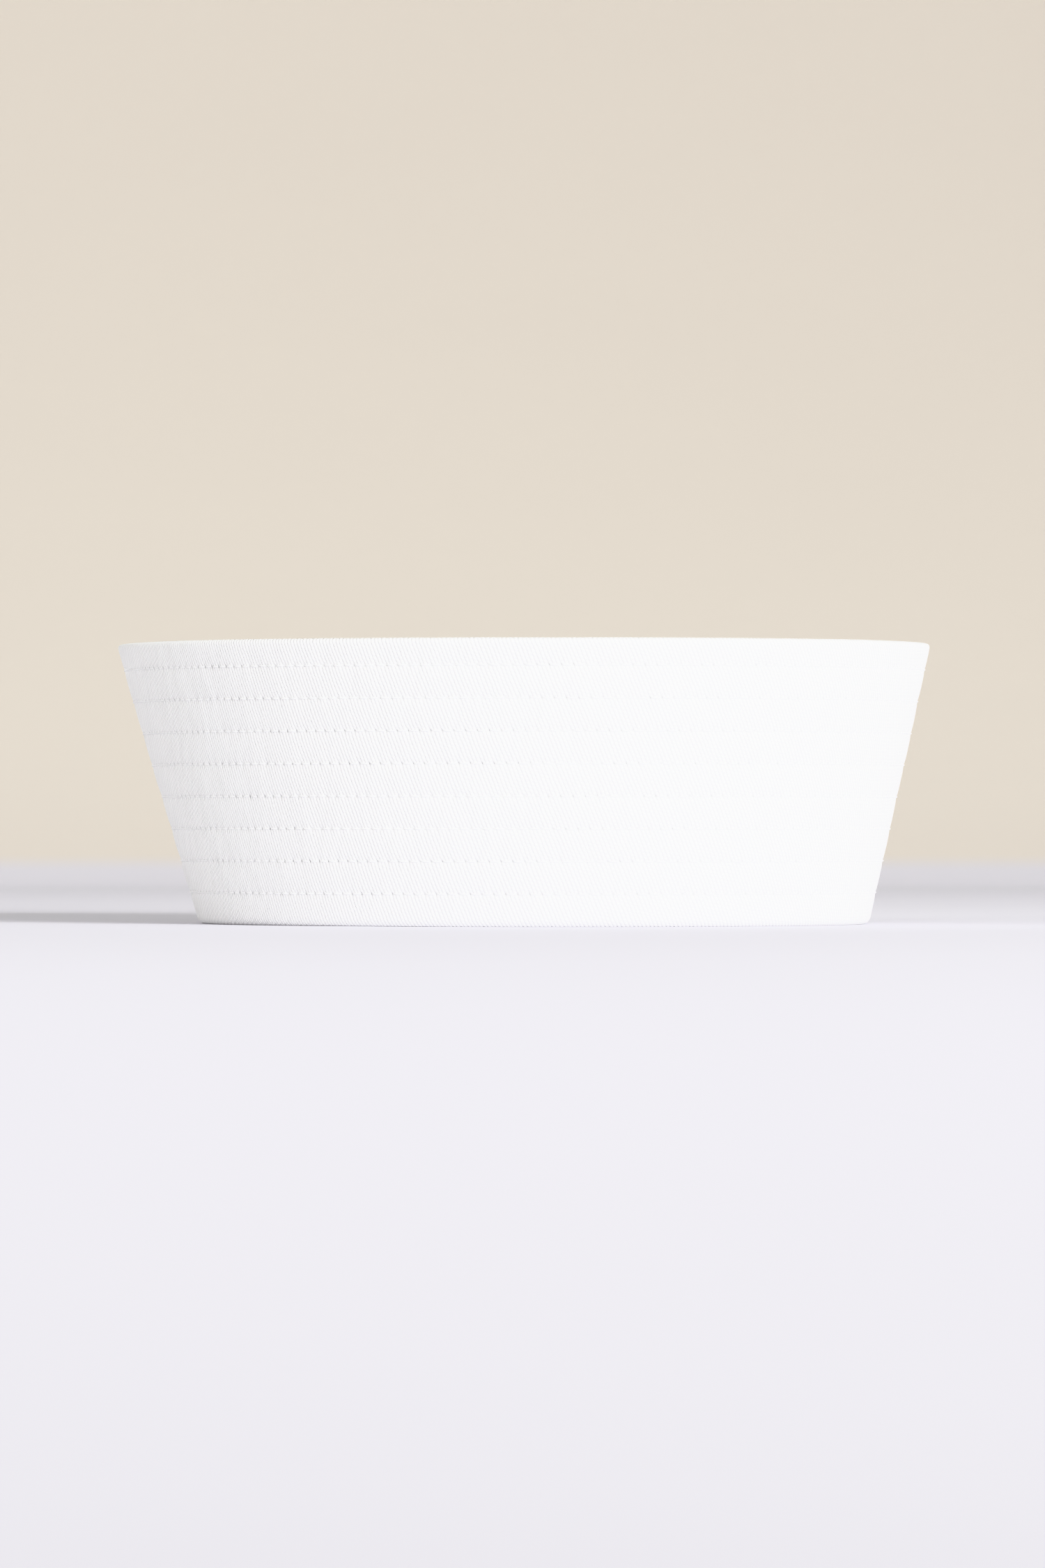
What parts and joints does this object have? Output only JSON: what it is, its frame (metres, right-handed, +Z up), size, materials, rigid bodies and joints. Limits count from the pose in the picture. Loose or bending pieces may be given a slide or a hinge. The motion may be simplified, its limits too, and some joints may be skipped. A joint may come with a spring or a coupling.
{
  "type": "sailor cap",
  "caption": "White cotton sailor cap with a domed gored crown and a tall flared brim turned up all round, quilted with rows of stitching.",
  "frame": {"origin": "on the surface the cap rests on, under the middle of the brim's top edge", "axes": "+Z up through the crown's tip, -Y to the wearer's front, +X to the wearer's left"},
  "size_m": [0.2274, 0.2455, 0.082],
  "materials": {
    "brim_outer_twill": "bleached white cotton twill, matt, quilted with white thread",
    "brim_inner_twill": "bleached white cotton twill, matt, quilted with white thread",
    "crown_twill": "bleached white cotton twill, matt, seams topstitched with white thread"
  },
  "bodies": {
    "root": {"brim_outer_ply": "brim_outer_twill", "brim_inner_ply": "brim_inner_twill", "crown_gore_1": "crown_twill", "crown_gore_2": "crown_twill", "crown_gore_3": "crown_twill", "crown_gore_4": "crown_twill", "crown_gore_5": "crown_twill", "crown_gore_6": "crown_twill"}
  },
  "joints": []
}
